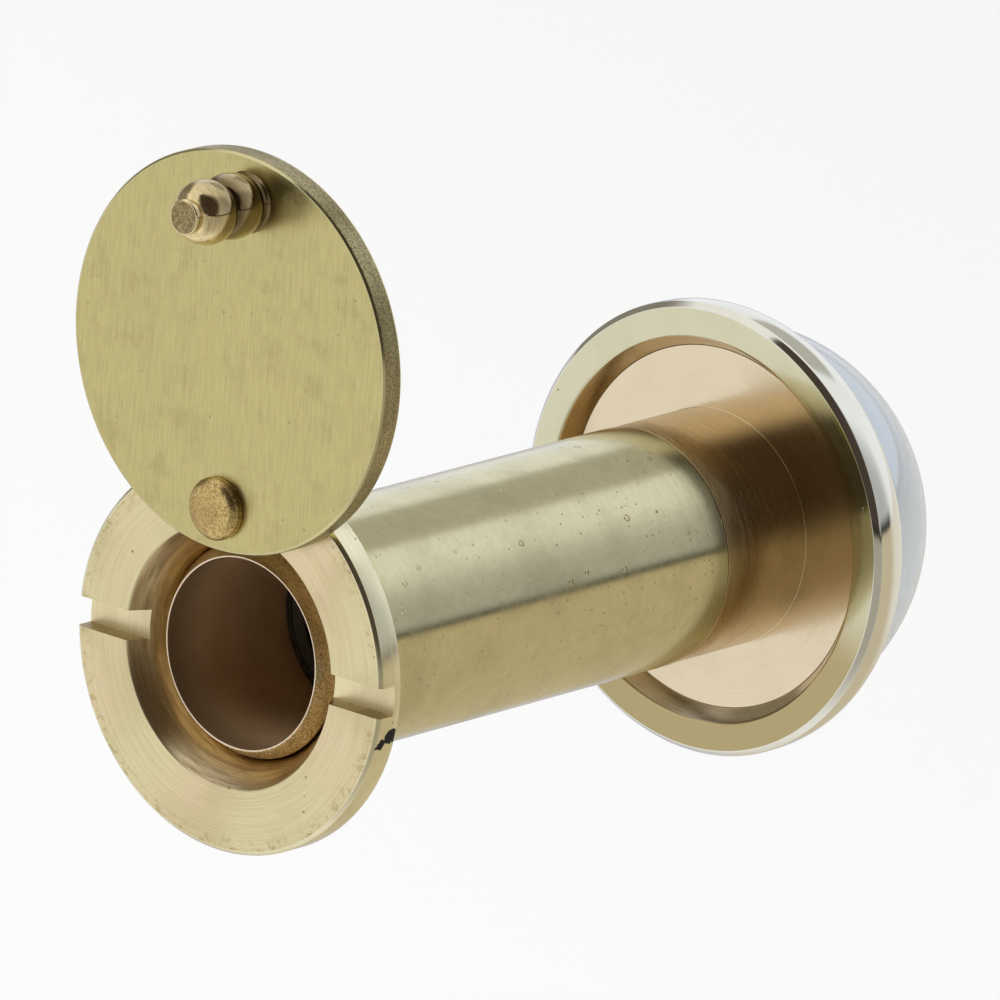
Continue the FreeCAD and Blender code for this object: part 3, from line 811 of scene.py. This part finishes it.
def make_barrel():
    """Male-threaded tube with its sawn end, coppery shoulder, disc and blackened head."""
    bore, inner, end, screw, shoulder, disc, black, joint = range(8)
    outline = rounded([
        (TUBE_BORE, tube_end, inner, 0.04),
        (TUBE_BORE + INNER_RIM, tube_end, end, 0.03),
        (TUBE_RADIUS, tube_end + TUBE_BEVEL, screw, 0.08),
        *[(TUBE_RADIUS, station, screw, 0) for station in thread_stations(samples=10)],
        (TUBE_RADIUS, SHOULDER_END, shoulder, 0.05),
        (SHOULDER_RADIUS - JOINT_BEVEL, SHOULDER_END, joint, 0.02),
        (SHOULDER_RADIUS, SHOULDER_END + JOINT_BEVEL, shoulder, 0.02),
        (SHOULDER_RADIUS, DISC_FACE, disc, 0.03),
        (DISC_RADIUS, DISC_FACE, disc, 0.03),
        (DISC_RADIUS, HEAD_START, black, 0),
        (head_radius, HEAD_START, black, 0.05),
        (head_radius, head_top, black, 0.05),
        (STOP_MOUTH, head_top, black, 0.06),
        (STOP_RADIUS, HEAD_START, black, 0.06),
        (STOP_RADIUS, -STOP_DEPTH, black, 0.03),
        (TUBE_BORE, -STOP_DEPTH, black, 0),
        (TUBE_BORE, retainer_back, bore, 0),
    ])
    barrel = turned("barrel", outline, segments=160, ripple=thread_ripple(TUBE_RADIUS, -THREAD_DEPTH))
    finish_piece(barrel, "exterior_unit", ["exterior_barrel"],
                 [bore_skin, inner_rim, sawn_end, cut_thread, shoulder_side, disc_face, lacquer, joint_shade_line])


def make_bezel():
    """Polished rim ring: flat seat, sloped recess wall, straight side, crown and lip."""
    side, seat, wall = range(3)
    start, brow = (bezel_radius, BEZEL_STRAIGHT), (BEZEL_BROW_RADIUS, BEZEL_BROW)
    lip_top, ledge = bezel_top, dome_base + DOME_RIM + FIT
    outline = rounded([
        (BEZEL_SEAT, 0, seat, 0.14),
        (bezel_radius - BEZEL_EDGE, 0, side, 0.05),
        (bezel_radius, BEZEL_EDGE, side, 0.08),
        (*start, side, 0),
        *bow(start, brow, BEZEL_SIDE_ARC, True, side, 10),
        (*brow, side, 0.08),
        (BEZEL_BROW_RADIUS - BEZEL_CROWN, lip_top, side, 0.12),
        (BEZEL_LIP, lip_top, side, 0.08),
        (BEZEL_LIP, ledge, side, 0),
        (BEZEL_BORE, ledge, side, 0),
        (BEZEL_BORE, HEAD_START, side, 0),
        (BEZEL_HOLE, HEAD_START, side, 0),
        (BEZEL_HOLE, DISC_FACE, wall, 0.04),
    ], 4)
    bezel = turned("bezel", outline, segments=256)
    finish_piece(bezel, "exterior_unit", ["exterior_bezel"],
                 [polished, seat_face, recess_wall])


def make_dome():
    """Thick glass dome with a ground rim under the bezel's lip."""
    base = dome_base + FIT
    rim = dome_base + DOME_RIM
    foot = (math.sqrt(DOME_RADIUS ** 2 - (rim - DOME_CENTRE) ** 2), rim)
    hollow = (math.sqrt(HOLLOW_RADIUS ** 2 - (base - HOLLOW_CENTRE) ** 2), base)
    top, inner_top = (0, dome_tip), (0, HOLLOW_CENTRE + HOLLOW_RADIUS)
    outline = rounded([
        (*hollow, 0, 0.03),
        (head_radius, base, 0, 0.05),
        (head_radius, rim, 0, 0.05),
        (*foot, 0, 0),
        *bow(foot, top, DOME_RADIUS, True, 0, 48),
        (*top, 0, 0),
        (*inner_top, 0, 0),
        *bow(inner_top, hollow, HOLLOW_RADIUS, False, 0, 40),
    ])
    dome = turned("dome", outline, segments=192)
    finish_piece(dome, "exterior_unit", ["objective_lens"], [dome_glass])


def make_seal():
    """Flat rubber ring under the dome."""
    outline = rounded([
        (SEAL_INNER, seal_base + FIT, 0, 0.04),
        (seal_radius, seal_base + FIT, 0, 0.04),
        (seal_radius, seal_top - FIT, 0, 0.04),
        (SEAL_INNER, seal_top - FIT, 0, 0.04),
    ])
    seal = turned("seal_ring", outline, segments=128)
    finish_piece(seal, "exterior_unit", ["lens_seal"], [rubber])


def make_retainer():
    """Blackened ring in front of the eyepiece lens, with two key slots."""
    outline = rounded([
        (RETAINER_INNER, retainer_back - FIT, 0, 0.03),
        (RETAINER_INNER, retainer_face + RETAINER_BEVEL, 0, 0.06),
        (RETAINER_INNER + RETAINER_BEVEL, retainer_face, 0, 0.06),
        *[corner for r in RETAINER_LINES for corner in (
            (r, retainer_face, 0, 0.02),
            (r + LINE_HALF, retainer_face + 2 * LINE_HALF, 0, 0),
            (r + 2 * LINE_HALF, retainer_face, 0, 0.02),
        )],
        (glass_radius, retainer_face, 0, 0.08),
        (glass_radius, retainer_back - FIT, 0, 0.03),
    ])
    slots = (KEY_HALF, retainer_face + KEY_DEPTH, [math.pi / 2, 1.5 * math.pi])
    retainer = turned("retaining_ring", outline, segments=128, slots=slots)
    finish_piece(retainer, "exterior_unit", ["eyepiece_retainer"], [lacquer], bevel=0.03)


def make_eyepiece():
    """Thick biconvex eyepiece lens with ground edges."""
    bulge = (eyepiece_front - eyepiece_back - LENS_EDGE) / 2
    front, back = eyepiece_front - bulge, eyepiece_back + bulge
    curve = (RETAINER_INNER ** 2 + bulge ** 2) / (2 * bulge)
    outline = rounded([
        (0, eyepiece_back, 0, 0),
        *bow((0, eyepiece_back), (RETAINER_INNER, back), curve, True, 0, 20),
        (RETAINER_INNER, back, 0, 0),
        (glass_radius, back, 0, 0.05),
        (glass_radius, front, 0, 0.05),
        (RETAINER_INNER, front, 0, 0),
        *bow((RETAINER_INNER, front), (0, eyepiece_front), curve, True, 0, 20),
        (0, eyepiece_front, 0, 0),
    ])
    lens = turned("eyepiece_glass", outline, segments=128)
    finish_piece(lens, "exterior_unit", ["eyepiece_lens"], [lens_glass])


def dress_inner_nodes():
    """The inner glasses and spacers keep their CAD shape and get their materials."""
    for name, material in (("second_lens", lens_glass), ("third_lens", lens_glass),
                           ("spacer_ring", lacquer), ("spacer_tube", lacquer)):
        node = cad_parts[name]
        node.data.materials.clear()
        node.data.materials.append(material)


# ---------------------------------------------------------------- stage

WHITE = (1.0, 1.0, 1.0)
COOL = (0.98, 1.02, 1.10)
BLACK = (0.02, 0.02, 0.02)
DIM = (0.26, 0.25, 0.21)
GREY = (0.54, 0.54, 0.51)
DARK_ROOM = (0.07, 0.055, 0.045)
VIOLET_GREY = (0.62, 0.62, 0.68)
WARM = (0.64, 0.57, 0.42)
PAPER = (0.95, 0.95, 0.95)
CREAM = (0.84, 0.82, 0.77)
SHADE = (0.45, 0.43, 0.38)
BACKDROP = (0.96, 0.96, 0.96)

# round dark patches of the room: towards, cosine at their edge, cosine where they are full
DARK_PATCHES = (
    ((0.5, -0.7, 0.5), 0.62, 0.8),
    ((-0.02, -0.52, 0.855), 0.972, 0.988),
)

FLOOR_REACH = 3.0
FLOOR_HEIGHT = -0.05
FLOOR_TONES = (0.95, 0.945, 0.93), (0.97, 0.965, 0.95)

KEY_PLACE = Vector((-0.6, -0.7, 1.1))
KEY_AIM = Vector((0, -0.02, 0))
KEY_SIZE = 1.0
KEY_POWER = 12.3

CAMERA_MIDDLE = Vector((0, -0.01894, 0.003))
CAMERA_AIM = Vector((0, -0.0181, 0.00505))
CAMERA_TURN = math.radians(39.75)
CAMERA_LIFT = math.radians(16.43)
CAMERA_ROLL = math.radians(3.83)
CAMERA_DISTANCE = 1.148
CAMERA_LENS = 730


def make_floor():
    """Plain pale floor, well below the viewer."""
    mesh = bpy.data.meshes.new("floor")
    signs = ((-1, -1), (1, -1), (1, 1), (-1, 1))
    corners = [(x * FLOOR_REACH, y * FLOOR_REACH, FLOOR_HEIGHT) for x, y in signs]
    mesh.from_pydata(corners, [], [(0, 1, 2, 3)])
    floor = bpy.data.objects.new("floor", mesh)
    bpy.context.scene.collection.objects.link(floor)
    look = Finish("floor_paper", Metallic=0.0)
    tone = look.mix(look.cloud(3.0), *FLOOR_TONES)
    mesh.materials.append(look.finish(tone, 0.8))
    floor.visible_glossy = False


def make_sky():
    """The studio that the metal mirrors: cool bright walls behind, a dim wall to the left, a dark room in
    front to the right, a dark line along the right horizon, white paper below, warmer behind.
    Seen directly it is plain."""
    world = bpy.data.worlds.new("studio")
    bpy.context.scene.world = world
    world.use_nodes = True
    sky = Nodes(world.node_tree)
    direction = sky.add("TexCoord").outputs["Generated"]
    x, y, z = (sky.axis(direction, name) for name in "XYZ")

    def patch(towards, start, full):
        """1 inside a round patch of the room, 0 outside it."""
        return sky.ramp(sky.vector("DOT_PRODUCT", direction, Vector(towards).normalized()), start, full)

    above = sky.mix(sky.ramp(y, 0.1, 0.6), WHITE, COOL)
    above = sky.mix(sky.ramp(x, 0.3, 0.66, 0.0, 0.48), above, BLACK)
    above = sky.mix(sky.ramp(x, -0.85, -0.7, 1.0, 0.0), above, DIM)
    above = sky.mix(patch((-0.22, 0.737, 0.635), 0.952, 0.978), above, GREY)
    for towards, start, full in DARK_PATCHES:
        above = sky.mix(patch(towards, start, full), above, DARK_ROOM)
    line = sky.sum("MULTIPLY", sky.ramp(z, 0.02, 0.10, 1.0, 0.0), sky.ramp(x, 0.4, 0.6))
    above = sky.mix(line, above, BLACK)
    behind = sky.mix(sky.ramp(x, -0.55, -0.35), VIOLET_GREY, WARM)
    below = sky.mix(sky.ramp(y, -0.2, 0.4), PAPER, behind)
    below = sky.mix(sky.ramp(y, 0.8, 0.95), below, CREAM)
    below = sky.mix(patch((0.75, -0.60, -0.20), 0.35, 0.92), below, SHADE)
    room = sky.mix(sky.ramp(z, -0.02, 0.01), below, above)
    seen = sky.add("LightPath").outputs["Is Camera Ray"]
    sky.feed(world.node_tree.nodes["Background"].inputs["Color"], sky.mix(seen, room, BACKDROP))


def make_light():
    """One square soft light over the floor, which the metal doesn't mirror."""
    lamp = bpy.data.lights.new("key", "AREA")
    lamp.shape = "SQUARE"
    lamp.size = KEY_SIZE
    lamp.energy = KEY_POWER
    light = bpy.data.objects.new("key", lamp)
    light.location = KEY_PLACE
    light.visible_glossy = False
    light.rotation_euler = (KEY_AIM - KEY_PLACE).to_track_quat("-Z", "Y").to_euler()
    bpy.context.scene.collection.objects.link(light)


def make_camera():
    """Long lens, turned round the object, lifted above it and rolled a little."""
    level = math.cos(CAMERA_LIFT)
    back = Vector((math.sin(CAMERA_TURN) * level, -math.cos(CAMERA_TURN) * level, math.sin(CAMERA_LIFT)))
    camera_data = bpy.data.cameras.new("camera")
    camera_data.sensor_width = 36
    camera_data.lens = CAMERA_LENS
    camera_data.clip_start = 0.01
    camera = bpy.data.objects.new("camera", camera_data)
    bpy.context.scene.collection.objects.link(camera)
    camera.location = CAMERA_MIDDLE + back * CAMERA_DISTANCE
    look = (CAMERA_AIM - camera.location).to_track_quat("-Z", "Y").to_matrix().to_4x4()
    camera.rotation_euler = (look @ Matrix.Rotation(CAMERA_ROLL, 4, "Z")).to_euler()
    bpy.context.scene.camera = camera


for make in (make_sleeve, make_washer, make_rivet, make_cover, make_knob, make_barrel, make_bezel,
             make_dome, make_seal, make_retainer, make_eyepiece, dress_inner_nodes,
             make_floor, make_sky, make_light, make_camera):
    make()

bpy.context.scene.view_settings.view_transform = "Standard"
